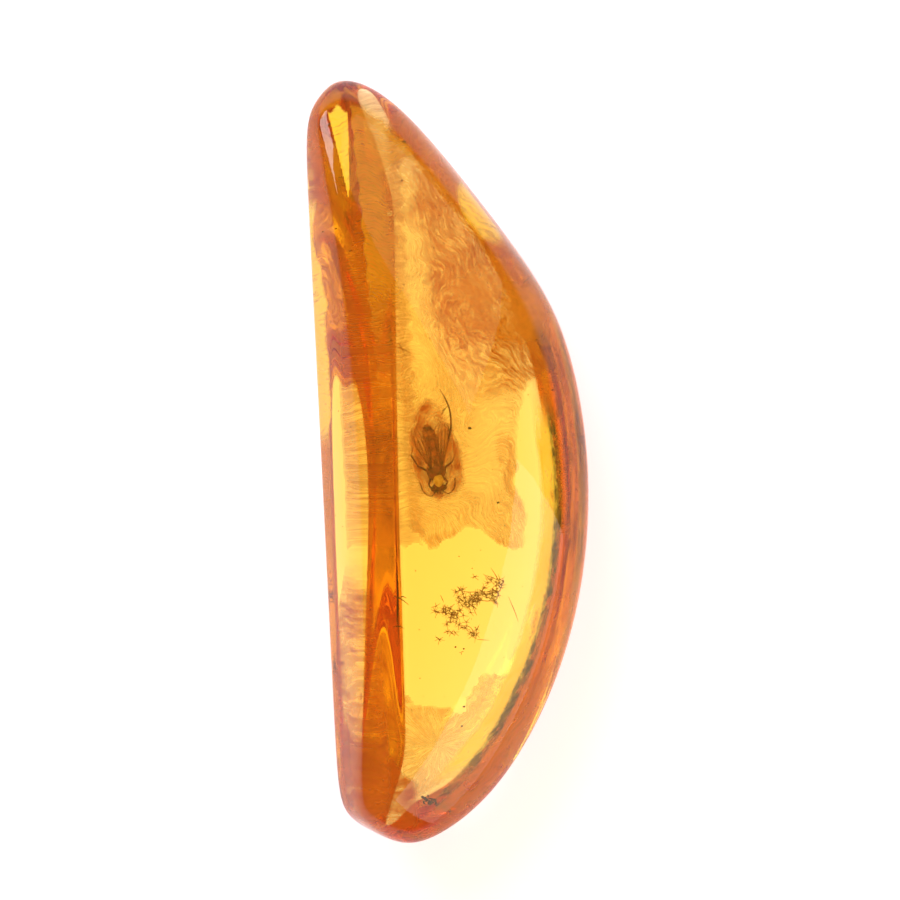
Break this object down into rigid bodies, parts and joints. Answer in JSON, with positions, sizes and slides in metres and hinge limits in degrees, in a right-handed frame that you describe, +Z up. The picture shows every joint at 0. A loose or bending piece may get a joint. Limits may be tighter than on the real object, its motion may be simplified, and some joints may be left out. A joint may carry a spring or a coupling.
{
  "type": "insect in amber",
  "caption": "Half-moon cabochon of clear golden amber with a small winged insect, stellate hairs and flow films sealed inside.",
  "frame": {"origin": "middle of the stone's footprint, on the surface it rests on", "axes": "+Z up out of the domed face, +Y along the stone towards its small pointed end, -X out of the straight cut wall"},
  "size_m": [0.0126, 0.036, 0.0078],
  "materials": {
    "amber": "polished"
  },
  "bodies": {
    "root": {"amber": "amber"}
  },
  "joints": []
}
